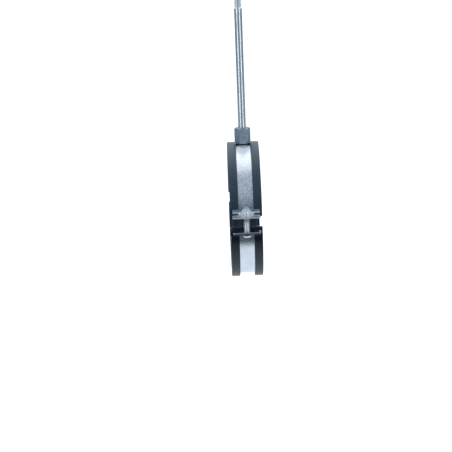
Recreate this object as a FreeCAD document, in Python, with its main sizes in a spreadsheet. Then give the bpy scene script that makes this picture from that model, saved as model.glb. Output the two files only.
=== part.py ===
import FreeCAD, Part
import math
import os

import Sketcher

# Duct clamp: two lined steel half bands, drawn together by two screws and hung from a threaded rod.
# Millimetres. Origin at the centre of the duct seat, X along the duct, Z up the rod.
# Each value is a real size of the clamp, and every feature below is bound to these cells.
SIZES = (
    ("seat_radius", 56.0, "half the diameter of the duct that is held"),
    ("rib_height", 1.3, "ribs inside the lining, from its wall to their tips"),
    ("rib_tip_width", 5.6, "width of a rib where it meets the duct"),
    ("rib_pitch", 9.2, "centre to centre of neighbouring ribs, which share a notch"),
    ("lining_wall", 3.1, "rubber between the ribs and the band"),
    ("lining_width", 32.4, "whole width of the lining along the duct"),
    ("lining_clearance", 0.1, "space all round the band in its rubber channel"),
    ("lip_height", 2.4, "thickness of the lips that fold over the band"),
    ("lip_spacing", 15.0, "bare band between the two lips"),
    ("lip_end", 8.2, "height above the joint plane at which the lips stop"),
    ("lip_bevel", 0.8, "bevel of the lips' outer corners"),
    ("lip_edge_bevel", 0.5, "bevel of the lips' free edges"),
    ("band_thickness", 1.5, "sheet of the band and its ears"),
    ("band_width", 28.0, "width of the band and its ears"),
    ("ear_offset", 2.5, "middle of an ear's sheet from the joint plane"),
    ("ear_length", 16.0, "how far an ear stands out from the band"),
    ("bend_radius", 2.5, "inside radius of the bend between band and ear"),
    ("ear_corner_radius", 1.6, "rounding of an ear's two free corners"),
    ("gusset_height", 7.0, "pressed gusset, up the band from the ear"),
    ("gusset_depth", 3.3, "pressed gusset, out along the ear from the band"),
    ("gusset_base_width", 14.6, "width of the gusset at the ear"),
    ("gusset_top_width", 3.6, "width of the gusset where it fades into the band"),
    ("screw_inset", 6.5, "screw axis from the ear's free edge"),
    ("screw_radius", 2.95, "outside of the clamp screw's thread"),
    ("screw_length", 22.0, "clamp screw below its head"),
    ("screw_chamfer", 0.8, "chamfer on the end of the screw"),
    ("head_across_flats", 10.0, "hexagon head of the clamp screw"),
    ("head_height", 4.0, "height of that head"),
    ("head_chamfer", 0.55, "height of the head's edge chamfer"),
    ("slot_width", 1.4, "driving slot across the head"),
    ("slot_depth", 1.7, "depth of that slot"),
    ("tapped_clearance", 0.05, "radial play of the screw in its tapped ear"),
    ("plain_clearance", 0.35, "radial play of the screw in the plain ear"),
    ("collar_height", 1.2, "drawn collar that lengthens the tapped hole"),
    ("collar_wall", 1.1, "wall of that collar"),
    ("joint_gap", 11.0, "how far the lower half hangs below its closed place"),
    ("boss_across_flats", 14.4, "hexagon of the welded boss"),
    ("boss_height", 15.5, "height of that hexagon"),
    ("boss_turn", 8.0, "how far the hexagon is turned about the rod, in degrees"),
    ("boss_chamfer", 0.55, "height of the chamfer on the hexagon's upper corners"),
    ("boss_foot_bevel", 0.4, "bevel on the hexagon's lower corners"),
    ("boss_clearance", 0.1, "space between the hexagon and the lips under it"),
    ("neck_clearance", 0.1, "space between the weld and the lips beside it"),
    ("weld_leg", 0.3, "leg of the weld round the boss's neck"),
    ("rod_radius", 3.95, "outside of the hanger rod's thread"),
    ("thread_contact_radius", 3.594, "radius at which rod and boss thread meet"),
    ("thread_play", 0.05, "radial play between the rod and the boss"),
    ("rod_seating", 0.3, "bare rod above the boss before its full thread"),
    ("rod_engagement", 10.5, "length of rod screwed into the boss"),
    ("rod_length", 150.0, "whole length of the rod"),
    ("rod_chamfer", 0.8, "chamfer on the ends of the rod"),
    ("mouth_chamfer", 0.7, "countersink at the mouth of the boss's thread"),
)
RIB_COUNT = 3
HEXAGON_SIDES = 6

doc = FreeCAD.newDocument("DuctClamp")
sheet = doc.addObject("Spreadsheet::Sheet", "Sizes")
for row, (alias, size, meaning) in enumerate(SIZES, start=1):
    sheet.set("A%d" % row, alias)
    sheet.set("B%d" % row, str(size))
    sheet.setAlias("B%d" % row, alias)
    sheet.set("C%d" % row, meaning)
doc.recompute()

# Lengths that several pieces share, each worked out from the cells above.
BAND_INNER = "(Sizes.seat_radius + Sizes.rib_height + Sizes.lining_wall + Sizes.lining_clearance)"
BAND_OUTER = "(%s + Sizes.band_thickness)" % BAND_INNER
LINING_ROOT = "(Sizes.seat_radius + Sizes.rib_height)"
LINING_OUTER = "(%s - Sizes.lining_clearance)" % BAND_INNER
LIP_INNER = "(%s + Sizes.lining_clearance)" % BAND_OUTER
LIP_OUTER = "(%s + Sizes.lip_height)" % LIP_INNER
CHANNEL_HALF = "(Sizes.band_width / 2 + Sizes.lining_clearance)"
EAR_NEAR = "(Sizes.ear_offset - Sizes.band_thickness / 2)"
EAR_FAR = "(Sizes.ear_offset + Sizes.band_thickness / 2)"
EAR_EDGE = "(%s + Sizes.ear_length)" % BAND_OUTER
SCREW_REACH = "(%s - Sizes.screw_inset)" % EAR_EDGE
WELD_RADIUS = "(Sizes.lip_spacing / 2 - Sizes.neck_clearance)"
NECK_RADIUS = "(%s - Sizes.weld_leg)" % WELD_RADIUS
BOSS_FLOOR = "(%s + Sizes.boss_clearance)" % LIP_OUTER
BOSS_TOP = "(%s + Sizes.boss_height)" % BOSS_FLOOR
ROD_FOOT = "(%s - Sizes.rod_engagement)" % BOSS_TOP

# How a sketch numbers its own two axes, the points of an edge, and its origin.
LEVEL, UPRIGHT = range(-1, -3, -1)
START, END, CENTRE = range(1, 4)
ORIGIN = (LEVEL, START)


def value(expression):
    """The number that an expression gives with the present sizes."""
    return float(sheet.evalExpression(expression))


def new_body(label):
    body = doc.addObject("PartDesign::Body", label)
    body.Label = label
    return body


def origin_plane(body, role):
    """One of the body's own three planes."""
    return [plane for plane in body.Origin.OriginFeatures if plane.Role == role][0]


def new_sketch(body, name, role, offset=None):
    """A sketch on one of the body's origin planes, raised along its normal by an expression."""
    sketch = body.newObject("Sketcher::SketchObject", name)
    sketch.AttachmentSupport = [(origin_plane(body, role), "")]
    sketch.MapMode = "FlatFace"
    if offset:
        sketch.setExpression("AttachmentOffset.Base.z", offset)
    return sketch


def bind(sketch, constraint, expression):
    """Add a constraint whose size follows an expression."""
    kind, places = constraint[0], constraint[1:]
    index = sketch.addConstraint(Sketcher.Constraint(kind, *places, value(expression)))
    sketch.setExpression("Constraints[%d]" % index, expression)


def polygon(sketch, corners):
    """A closed outline of straight lines, its corners given as pairs of expressions."""
    points = [FreeCAD.Vector(value(across), value(along), 0) for across, along in corners]
    first = sketch.GeometryCount
    count = len(corners)
    for number in range(count):
        sketch.addGeometry(Part.LineSegment(points[number], points[(number + 1) % count]), False)
    for number in range(count):
        line = first + number
        following = first + (number + 1) % count
        sketch.addConstraint(Sketcher.Constraint("Coincident", line, END, following, START))
    for number, (across, along) in enumerate(corners):
        line = first + number
        bind(sketch, ("DistanceX", *ORIGIN, line, START), across)
        bind(sketch, ("DistanceY", *ORIGIN, line, START), along)


def circle(sketch, along, radius):
    """A circle centred on the sketch's upright axis."""
    centre = FreeCAD.Vector(0, value(along), 0)
    ring = sketch.addGeometry(Part.Circle(centre, FreeCAD.Vector(0, 0, 1), value(radius)), False)
    sketch.addConstraint(Sketcher.Constraint("PointOnObject", ring, CENTRE, UPRIGHT))
    bind(sketch, ("DistanceY", *ORIGIN, ring, CENTRE), along)
    bind(sketch, ("Radius", ring), radius)


def corner_reach(across_flats):
    """From the middle of a hexagon to its corners."""
    return "(%s / 2 / cos(180 deg / %d))" % (across_flats, HEXAGON_SIDES)


def hexagon(sketch, across_flats, turn):
    """A hexagon about the sketch's origin."""
    reach = corner_reach(across_flats)
    corners = []
    for number in range(HEXAGON_SIDES):
        angle = "(%d / %d * 360 deg + %s * 1 deg)" % (number, HEXAGON_SIDES, turn)
        corners.append(("%s * cos%s" % (reach, angle), "%s * sin%s" % (reach, angle)))
    polygon(sketch, corners)


def pad(body, name, sketch, length, midplane=False, reverse=False):
    feature = body.newObject("PartDesign::Pad", name)
    feature.Profile = sketch
    feature.Midplane = midplane
    feature.Reversed = reverse
    feature.setExpression("Length", length)
    doc.recompute()
    return feature


def cut_through(body, name, sketch, midplane=False, reverse=False):
    feature = body.newObject("PartDesign::Pocket", name)
    feature.Profile = sketch
    feature.Type = "ThroughAll"
    feature.Midplane = midplane
    feature.Reversed = reverse
    doc.recompute()
    return feature


def turned(body, kind, name, sketch, axis, angle="360 deg", midplane=False):
    """A revolved feature, which adds (Revolution) or removes (Groove)."""
    feature = body.newObject("PartDesign::" + kind, name)
    feature.Profile = sketch
    feature.ReferenceAxis = (sketch, [axis])
    feature.Midplane = midplane
    feature.setExpression("Angle", angle)
    doc.recompute()
    return feature


def tapered_block(body, kind, name, foot, top):
    """A block between two level rectangles, which adds (AdditiveWedge) or removes (SubtractiveWedge).

    Each rectangle is given as its height, half its width and where it begins and ends along Y.
    """
    feature = body.newObject("PartDesign::" + kind, name)
    feature.AttachmentSupport = [(origin_plane(body, "XZ_Plane"), "")]
    feature.MapMode = "FlatFace"
    for level, number, (height, half, begin, end) in (("min", "", foot), ("max", "2", top)):
        feature.setExpression("Y" + level, height)
        feature.setExpression("X%smin" % number, "-" + half)
        feature.setExpression("X%smax" % number, half)
        feature.setExpression("Z%smin" % number, "-" + end)
        feature.setExpression("Z%smax" % number, "-" + begin)
    doc.recompute()
    return feature


def dressed(body, kind, name, base, chosen, size):
    """Fillet or chamfer the edges of a feature that a test picks."""
    edges = ["Edge%d" % (n + 1) for n, edge in enumerate(base.Shape.Edges) if chosen(edge)]
    feature = body.newObject("PartDesign::" + kind, name)
    feature.Base = (base, edges)
    feature.setExpression("Radius" if kind == "Fillet" else "Size", size)
    doc.recompute()
    return feature


def near(one, other, slack=0.01):
    return abs(one - other) < slack


# Half band: one strip, bent out at its ends into ears that carry the screws.
def strip_outline(sketch):
    """Edge view of half the strip: quarter ring, bend and ear, one sheet thick all along."""
    outer = value(BAND_OUTER)
    inner = value(BAND_INNER)
    bend = value("Sizes.bend_radius")
    far = value(EAR_FAR)
    close = value(EAR_NEAR)
    edge = value(EAR_EDGE)
    bend_height = far + bend
    bend_reach = math.sqrt((outer + bend) ** 2 - bend_height ** 2)
    slope = math.atan2(bend_height, bend_reach)
    crown_angle = math.pi / 2
    up = FreeCAD.Vector(0, 0, 1)
    middle = FreeCAD.Vector(0, 0, 0)
    bend_middle = FreeCAD.Vector(bend_reach, bend_height, 0)
    ring_out = Part.ArcOfCircle(Part.Circle(middle, up, outer), slope, crown_angle)
    ring_in = Part.ArcOfCircle(Part.Circle(middle, up, inner), slope, crown_angle)
    crown = Part.LineSegment(FreeCAD.Vector(0, inner, 0), FreeCAD.Vector(0, outer, 0))
    turns = (math.pi + slope, math.pi + crown_angle)
    bend_in = Part.ArcOfCircle(Part.Circle(bend_middle, up, bend), *turns)
    bend_out = Part.ArcOfCircle(Part.Circle(bend_middle, up, bend + outer - inner), *turns)
    ear_top = Part.LineSegment(FreeCAD.Vector(bend_reach, far, 0), FreeCAD.Vector(edge, far, 0))
    ear_end = Part.LineSegment(FreeCAD.Vector(edge, far, 0), FreeCAD.Vector(edge, close, 0))
    ear_under = Part.LineSegment(FreeCAD.Vector(edge, close, 0), FreeCAD.Vector(bend_reach, close, 0))
    pieces = [ring_out, ring_in, crown, bend_in, bend_out, ear_top, ear_end, ear_under]
    ring_out, ring_in, crown, bend_in, bend_out, ear_top, ear_end, ear_under = [
        sketch.addGeometry(piece, False) for piece in pieces
    ]
    for rule in (
        ("Coincident", ring_out, CENTRE, *ORIGIN),
        ("Coincident", ring_in, CENTRE, *ORIGIN),
        ("Coincident", bend_out, CENTRE, bend_in, CENTRE),
        ("Coincident", ring_out, END, crown, END),
        ("Coincident", ring_in, END, crown, START),
        ("PointOnObject", ring_out, END, UPRIGHT),
        ("PointOnObject", ring_in, END, UPRIGHT),
        ("Tangent", ring_out, START, bend_in, START),
        ("Tangent", ring_in, START, bend_out, START),
        ("Tangent", bend_in, END, ear_top, START),
        ("Tangent", bend_out, END, ear_under, END),
        ("Horizontal", ear_top),
        ("Horizontal", ear_under),
        ("Vertical", ear_end),
        ("Coincident", ear_top, END, ear_end, START),
        ("Coincident", ear_end, END, ear_under, START),
    ):
        sketch.addConstraint(Sketcher.Constraint(*rule))
    bind(sketch, ("Radius", ring_out), BAND_OUTER)
    bind(sketch, ("Radius", ring_in), BAND_INNER)
    bind(sketch, ("Radius", bend_in), "Sizes.bend_radius")
    bind(sketch, ("DistanceY", *ORIGIN, ear_top, START), EAR_FAR)
    bind(sketch, ("DistanceX", *ORIGIN, ear_end, START), EAR_EDGE)


def half_band(label, tapped):
    body = new_body(label)
    edge_view = new_sketch(body, label + "_edge_view", "YZ_Plane")
    strip_outline(edge_view)
    pad(body, label + "_strip", edge_view, "Sizes.band_width", midplane=True)

    # The gusset is a bead pressed through the bend, so the same sheet runs over it as a wall.
    top = "(%s + Sizes.gusset_height)" % EAR_FAR
    top_reach = "sqrt(%s^2 - %s^2)" % (BAND_OUTER, top)
    top_half = "(Sizes.gusset_top_width / 2)"
    base = "(%s - Sizes.band_thickness / 4)" % EAR_FAR
    base_half = "(Sizes.gusset_base_width / 2)"
    nose = "(%s + Sizes.gusset_depth)" % BAND_OUTER
    base_root = "(%s - Sizes.band_thickness / 2)" % BAND_OUTER
    top_root = "(%s - Sizes.band_thickness / 2)" % top_reach
    tapered_block(
        body,
        "AdditiveWedge",
        label + "_bead",
        (base, base_half, base_root, nose),
        (top, top_half, top_root, top_reach),
    )

    # Its hollow follows the outside, one sheet further in on the slope and half a sheet on the sides.
    run = "(%s - %s)" % (nose, top_reach)
    slant = "sqrt(Sizes.gusset_height^2 + %s^2)" % run
    sheet_along = "(Sizes.band_thickness * %s / Sizes.gusset_height)" % slant
    lower_run = "(Sizes.band_thickness * %s / Sizes.gusset_height)" % run
    inside = "(%s - Sizes.lining_wall)" % BAND_INNER
    hollow_nose = "(%s - %s + %s)" % (nose, sheet_along, lower_run)
    hollow_top = "(%s - %s)" % (top_reach, sheet_along)
    tapered_block(
        body,
        "SubtractiveWedge",
        label + "_hollow",
        (EAR_NEAR, "(%s - Sizes.band_thickness / 2)" % base_half, inside, hollow_nose),
        (top, "(%s - Sizes.band_thickness / 2)" % top_half, inside, hollow_top),
    )

    # The screw hole: tapped in a drawn collar on one half, plain on the other.
    if tapped:
        hole_radius = "(Sizes.screw_radius + Sizes.tapped_clearance)"
        collar_foot = "(%s - Sizes.collar_height)" % EAR_NEAR
        collar_plan = new_sketch(body, label + "_collar_plan", "XY_Plane", collar_foot)
        circle(collar_plan, SCREW_REACH, "(%s + Sizes.collar_wall)" % hole_radius)
        pad(body, label + "_collar", collar_plan, "Sizes.collar_height + Sizes.band_thickness / 2")
    else:
        hole_radius = "(Sizes.screw_radius + Sizes.plain_clearance)"
    hole_plan = new_sketch(body, label + "_hole_plan", "XY_Plane")
    circle(hole_plan, SCREW_REACH, hole_radius)
    cut_through(body, label + "_hole", hole_plan, reverse=True)

    mirrored = body.newObject("PartDesign::Mirrored", label + "_both_ears")
    mirrored.TransformMode = "Whole shape"
    mirrored.MirrorPlane = (origin_plane(body, "XZ_Plane"), [""])
    body.Tip = mirrored
    doc.recompute()

    def ear_corner(edge):
        """An upright edge at a free corner of an ear."""
        middle = edge.CenterOfMass
        upright = near(edge.BoundBox.XLength, 0) and near(edge.BoundBox.YLength, 0)
        return upright and near(abs(middle.y), value(EAR_EDGE))

    body.Tip = dressed(body, "Fillet", label + "_corners", mirrored, ear_corner, "Sizes.ear_corner_radius")
    return body


# Lining: a rubber channel that wraps the band's edges, ribbed where it grips the duct.
def lining(label):
    body = new_body(label)
    half = "(Sizes.lining_width / 2)"
    wall_view = new_sketch(body, label + "_wall_section", "XZ_Plane")
    corners = [("-" + half, LINING_OUTER), ("-" + half, LINING_ROOT)]
    for number in range(RIB_COUNT):
        middle = "%s * Sizes.rib_pitch" % (number - (RIB_COUNT - 1) / 2)
        corners += [
            ("%s - Sizes.rib_pitch / 2" % middle, LINING_ROOT),
            ("%s - Sizes.rib_tip_width / 2" % middle, "Sizes.seat_radius"),
            ("%s + Sizes.rib_tip_width / 2" % middle, "Sizes.seat_radius"),
        ]
    last_notch = "%s * Sizes.rib_pitch" % (RIB_COUNT / 2)
    corners += [(last_notch, LINING_ROOT), (half, LINING_ROOT), (half, LINING_OUTER)]
    polygon(wall_view, corners)
    turned(body, "Revolution", label + "_wall", wall_view, "H_Axis", "180 deg", midplane=True)

    lips_view = new_sketch(body, label + "_lip_section", "XZ_Plane")
    sunk = "(%s - Sizes.lining_wall / 2)" % LINING_OUTER
    lip_half = "(Sizes.lip_spacing / 2)"
    for side in ("", "-"):
        corners = [
            (side + CHANNEL_HALF, sunk),
            (side + half, sunk),
            (side + half, LIP_OUTER),
            (side + lip_half, LIP_OUTER),
            (side + lip_half, LIP_INNER),
            (side + CHANNEL_HALF, LIP_INNER),
        ]
        polygon(lips_view, corners)
    lip_angle = "180 deg - 2 * asin(Sizes.lip_end / %s)" % LIP_OUTER
    lips = turned(body, "Revolution", label + "_lips", lips_view, "H_Axis", lip_angle, midplane=True)

    def on_rim(across):
        """Test for the long edges on the lips' outside at a distance from the middle."""

        def chosen(edge):
            box = edge.BoundBox
            level = near(box.XLength, 0) and box.YLength > value(BAND_OUTER)
            outside = near(edge.Curve.Radius, value(LIP_OUTER)) if level else False
            return outside and near(abs(edge.CenterOfMass.x), value(across))

        return chosen

    corners_done = dressed(body, "Chamfer", label + "_corners", lips, on_rim(half), "Sizes.lip_bevel")
    dressed(body, "Chamfer", label + "_edges", corners_done, on_rim(lip_half), "Sizes.lip_edge_bevel")
    return body


# Boss: a threaded hexagon on a round neck, welded to the crown of the upper band.
def boss():
    body = new_body("connection_boss")
    plan = new_sketch(body, "boss_plan", "XY_Plane", BOSS_FLOOR)
    hexagon(plan, "Sizes.boss_across_flats", "Sizes.boss_turn")
    pad(body, "boss_hexagon", plan, "Sizes.boss_height")

    # Its upper corners are turned off flat, and its lower ones are only broken.
    corner = corner_reach("Sizes.boss_across_flats")
    flat = "(Sizes.boss_across_flats / 2)"
    outside = "(%s + Sizes.boss_chamfer)" % corner
    slope = "Sizes.boss_chamfer * (%s - %s) / (%s - %s)" % (outside, flat, corner, flat)
    bevels = new_sketch(body, "boss_bevel_sections", "XZ_Plane")
    polygon(bevels, [(flat, BOSS_TOP), (outside, BOSS_TOP), (outside, "%s - %s" % (BOSS_TOP, slope))])
    foot_inside = "(%s - Sizes.boss_foot_bevel)" % corner
    foot_outside = "(%s + Sizes.boss_foot_bevel)" % corner
    foot_rise = "(%s + 2 * Sizes.boss_foot_bevel)" % BOSS_FLOOR
    polygon(bevels, [(foot_inside, BOSS_FLOOR), (foot_outside, foot_rise), (foot_outside, BOSS_FLOOR)])
    turned(body, "Groove", "boss_bevels", bevels, "V_Axis")

    # The neck goes down between the lips to the band, with the weld round its foot.
    neck = new_sketch(body, "boss_neck_section", "XZ_Plane")
    sunk = "(%s - Sizes.band_thickness)" % BAND_OUTER
    raised = "(%s + Sizes.boss_foot_bevel)" % BOSS_FLOOR
    polygon(
        neck,
        [
            ("0", sunk),
            (WELD_RADIUS, sunk),
            (WELD_RADIUS, BAND_OUTER),
            (NECK_RADIUS, "%s + Sizes.weld_leg" % BAND_OUTER),
            (NECK_RADIUS, raised),
            ("0", raised),
        ],
    )
    turned(body, "Revolution", "boss_neck", neck, "V_Axis")

    # Its foot is saddled to the band, so it stands on the steel all round.
    saddle = new_sketch(body, "boss_saddle", "YZ_Plane")
    circle(saddle, "0", BAND_OUTER)
    cut_through(body, "boss_foot", saddle, midplane=True)

    bore = new_sketch(body, "boss_bore_section", "XZ_Plane")
    bore_radius = "(Sizes.thread_contact_radius + Sizes.thread_play)"
    polygon(
        bore,
        [
            ("0", sunk),
            (bore_radius, sunk),
            (bore_radius, "%s - Sizes.mouth_chamfer" % BOSS_TOP),
            ("%s + Sizes.mouth_chamfer" % bore_radius, BOSS_TOP),
            ("0", BOSS_TOP),
        ],
    )
    turned(body, "Groove", "boss_bore", bore, "V_Axis")
    return body


# Hanger rod: full thread outside the boss, and the radius of thread contact inside it.
def hanger_rod():
    body = new_body("hanger_rod")
    section = new_sketch(body, "rod_section", "XZ_Plane")
    top = "(%s + Sizes.rod_length)" % ROD_FOOT
    shoulder = "(%s + Sizes.rod_seating)" % BOSS_TOP
    polygon(
        section,
        [
            ("0", ROD_FOOT),
            ("Sizes.thread_contact_radius - Sizes.rod_chamfer", ROD_FOOT),
            ("Sizes.thread_contact_radius", "%s + Sizes.rod_chamfer" % ROD_FOOT),
            ("Sizes.thread_contact_radius", shoulder),
            ("Sizes.rod_radius", shoulder),
            ("Sizes.rod_radius", "%s - Sizes.rod_chamfer" % top),
            ("Sizes.rod_radius - Sizes.rod_chamfer", top),
            ("0", top),
        ],
    )
    turned(body, "Revolution", "rod_turned", section, "V_Axis")
    return body


# Clamp screw: hexagon head with a driving slot, drawn head down with its seat at the body's origin.
def clamp_screw(label, side):
    body = new_body(label)
    plan = new_sketch(body, label + "_head_plan", "XY_Plane")
    hexagon(plan, "Sizes.head_across_flats", "30")
    pad(body, label + "_head", plan, "Sizes.head_height", reverse=True)

    corner = corner_reach("Sizes.head_across_flats")
    flat = "(Sizes.head_across_flats / 2)"
    outside = "(%s + Sizes.head_chamfer)" % corner
    rise = "Sizes.head_chamfer * (%s - %s) / (%s - %s)" % (outside, flat, corner, flat)
    bevel = new_sketch(body, label + "_bevel_section", "XZ_Plane")
    polygon(
        bevel,
        [
            (flat, "-Sizes.head_height"),
            (outside, "-Sizes.head_height + %s" % rise),
            (outside, "-Sizes.head_height"),
        ],
    )
    turned(body, "Groove", label + "_bevel", bevel, "V_Axis")

    slot = new_sketch(body, label + "_slot_section", "YZ_Plane")
    slot_half = "(Sizes.slot_width / 2)"
    slot_floor = "(Sizes.slot_depth - Sizes.head_height)"
    slot_mouth = "(-Sizes.head_height - Sizes.slot_width)"
    polygon(
        slot,
        [
            ("-" + slot_half, slot_mouth),
            (slot_half, slot_mouth),
            (slot_half, slot_floor),
            ("-" + slot_half, slot_floor),
        ],
    )
    cut_through(body, label + "_slot", slot, midplane=True)

    shank = new_sketch(body, label + "_shank_section", "XZ_Plane")
    rooted = "(-Sizes.head_height / 4)"
    polygon(
        shank,
        [
            ("0", rooted),
            ("Sizes.screw_radius", rooted),
            ("Sizes.screw_radius", "Sizes.screw_length - Sizes.screw_chamfer"),
            ("Sizes.screw_radius - Sizes.screw_chamfer", "Sizes.screw_length"),
            ("0", "Sizes.screw_length"),
        ],
    )
    turned(body, "Revolution", label + "_shank", shank, "V_Axis")
    body.setExpression("Placement.Base.y", "%s * %s" % (side, SCREW_REACH))
    body.setExpression("Placement.Base.z", "-(Sizes.joint_gap + %s)" % EAR_FAR)
    return body


def turn_under(body):
    """Turn a half over about the duct's axis and let it down to where it hangs."""
    over = FreeCAD.Rotation(FreeCAD.Vector(1, 0, 0), 180)
    body.Placement = FreeCAD.Placement(FreeCAD.Vector(0, 0, 0), over)
    body.setExpression("Placement.Base.z", "-Sizes.joint_gap")


pieces = [
    hanger_rod(),
    boss(),
    half_band("upper_band", tapped=True),
    lining("upper_lining"),
    half_band("lower_band", tapped=False),
    lining("lower_lining"),
    clamp_screw("front_clamp_screw", "-1"),
    clamp_screw("rear_clamp_screw", "1"),
]
for piece in pieces:
    if piece.Label.startswith("lower"):
        turn_under(piece)
doc.recompute()

# Nothing is written unless every object is sound and every piece is one closed solid.
for item in doc.Objects:
    if "Invalid" in item.State or "Error" in item.State:
        raise RuntimeError("%s did not compute: %s" % (item.Label, item.State))
for piece in pieces:
    if piece.Shape.isNull() or not piece.Shape.isValid() or len(piece.Shape.Solids) != 1:
        raise RuntimeError("%s is not one sound solid" % piece.Label)
os.makedirs("parts", exist_ok=True)
for piece in pieces:
    piece.Shape.exportStep("parts/%s.step" % piece.Label)
    print(piece.Label, round(piece.Shape.Volume, 1), len(piece.Shape.Faces))
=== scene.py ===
from math import asin, cos, hypot, pi, radians, sin, tan

import bmesh
import bpy
from mathutils import Matrix, Vector


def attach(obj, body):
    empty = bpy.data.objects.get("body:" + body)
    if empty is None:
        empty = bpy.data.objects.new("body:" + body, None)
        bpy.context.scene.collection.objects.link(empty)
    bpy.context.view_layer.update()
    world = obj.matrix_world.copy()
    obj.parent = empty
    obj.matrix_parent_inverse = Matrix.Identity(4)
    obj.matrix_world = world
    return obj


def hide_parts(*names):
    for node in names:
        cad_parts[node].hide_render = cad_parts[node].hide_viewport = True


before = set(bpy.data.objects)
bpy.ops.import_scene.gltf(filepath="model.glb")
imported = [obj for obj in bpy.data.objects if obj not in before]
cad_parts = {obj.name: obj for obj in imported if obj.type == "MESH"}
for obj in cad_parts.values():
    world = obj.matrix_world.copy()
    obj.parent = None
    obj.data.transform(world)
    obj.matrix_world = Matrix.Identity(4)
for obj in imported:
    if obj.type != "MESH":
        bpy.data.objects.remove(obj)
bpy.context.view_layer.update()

# Lengths of the clamp are written in millimetres, as on a drawing, and turned to metres where they
# are used. The studio and the camera are in metres.
MM = 0.001

# Rubber lining, as a section through its channel.
SEAT_RADIUS = 56.0
RIB_ROOT = 57.3
RIB_PITCH = 9.2
RIB_CENTRES = (RIB_PITCH, 0.0, -RIB_PITCH)
RIB_TIP_HALF = 2.8
LINING_HALF = 16.2
LINING_OUTSIDE = 60.4
CHANNEL_HALF = 14.1
LIP_UNDERSIDE = 62.1
LIP_OUTSIDE = 64.5
LIP_SPACING_HALF = 7.5
LIP_END = 8.2
JOINT_GAP = 11.0
INNER_EDGE_ROUNDING = 0.5
RIB_FOOT_ROUNDING = 0.25
RIB_TIP_ROUNDING = 0.4
LIP_SHOULDER_ROUNDING = 0.95
LIP_NOSE_ROUNDING = 0.75
LIP_UNDER_ROUNDING = 0.2
END_STEPS = 4
ARCH_STEPS = 112

# Half bands.
BAND_OUTSIDE = 62.0
EAR_EDGE = 78.0
UPPER_EAR_TOP = 3.25
LOWER_EAR_TOP = -12.75

# Hanger rod: plain, with an M8 thread at each end.
ROD_FOOT = 69.6
ROD_TOP = 219.6
BOSS_TOP = 80.1
BOSS_FLOOR = 64.6
ROD_CONTACT = 3.594
ROD_ROOT = 3.28
ROD_CREST = 3.95
ROD_SHANK_TOP = 204.0
ROD_PITCH = 1.25
ROD_SIDES = 96
END_BEVEL = 0.8
TOP_BEVEL = 0.25

# Weld round the foot of the boss.
WELD_INSIDE = 6.9
WELD_OUTSIDE = 7.48
WELD_TOP = 64.3
WELD_RIPPLE_ROOM = 0.1
WELD_RIPPLES = ((0.05, 26, 0.0), (0.04, 7, 1.0))  # height, waves round the weld, start
WELD_SIDES = 144
WELD_STEPS = 10

# Clamp screws, M6, with slotted hexagon heads.
SCREW_REACH = 71.5
SCREW_SEAT = -14.25
SCREW_LENGTH = 22.0
SCREW_END = SCREW_SEAT + SCREW_LENGTH
SCREW_SHANK_TOP = -3.0
SCREW_ROOT = 2.42
SCREW_CREST = 2.95
SCREW_PITCH = 1.0
SCREW_SIDES = 40
SCREW_IN_HEAD = 1.0
HEAD_FLATS = 10.0
HEAD_HEIGHT = 4.0
HEAD_TIP = 3.9
HEAD_TURN = radians(24.6)
HEAD_ROUNDING = 0.3
HEAD_EASE = 0.12
HEAD_SIDES = 120
CHAMFER_STEPS = 12
CHAMFER_OVERLAP = 1.1
CHAMFER_SOFTNESS = 0.06
SLOT_WIDTH = 1.4
SLOT_DEPTH = 1.7

# Rolled threads: where the ridge starts above the shank, how much shorter it is than the room
# above the shank, and how deep its foot is buried.
THREAD_START = 0.3
THREAD_SHORT = 0.9
RIDGE_BURIED = 0.2
# Half widths of the ridge's section as shares of the pitch, its shoulder as a share of its height,
# and how small the ridge gets at its ends.
RIDGE_FOOT = 0.56
RIDGE_BROW = 0.12
RIDGE_SHOULDER = 0.93
RIDGE_END = 0.1


# Meshes

def eased(corners, steps=4):
    """Points along an open outline; each corner is (across, up, radius of its rounding)."""
    points = []
    for number, (across, up, radius) in enumerate(corners):
        corner = Vector((across, up))
        if radius == 0 or not 0 < number < len(corners) - 1:
            points.append(corner)
            continue
        before = (Vector(corners[number - 1][:2]) - corner).normalized()
        after = (Vector(corners[number + 1][:2]) - corner).normalized()
        half = before.angle(after) / 2
        middle = corner + (before + after).normalized() * (radius / sin(half))
        start = corner + before * (radius / tan(half)) - middle
        end = corner + after * (radius / tan(half)) - middle
        for step in range(steps + 1):
            points.append(middle + start.slerp(end, step / steps) * radius)
    return points


def finished_mesh(name, shape, crease=35.0):
    """Close a bmesh into an object: normals outward, smooth up to the crease angle."""
    bmesh.ops.recalc_face_normals(shape, faces=shape.faces)
    mesh = bpy.data.meshes.new(name)
    shape.to_mesh(mesh)
    shape.free()
    mesh.shade_smooth()
    mesh.set_sharp_from_angle(angle=radians(crease))
    piece = bpy.data.objects.new(name, mesh)
    bpy.context.scene.collection.objects.link(piece)
    return piece


def bake(piece):
    """Replace an object's modifiers by the plain mesh that they give."""
    graph = bpy.context.evaluated_depsgraph_get()
    mesh = bpy.data.meshes.new_from_object(piece.evaluated_get(graph), depsgraph=graph)
    mesh.name = piece.name
    piece.modifiers.clear()
    piece.data = mesh


def bridge(shape, lower, upper):
    """Faces between two rings of the same number of points."""
    for side in range(len(lower)):
        after = (side + 1) % len(lower)
        shape.faces.new((lower[side], lower[after], upper[after], upper[side]))


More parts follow.
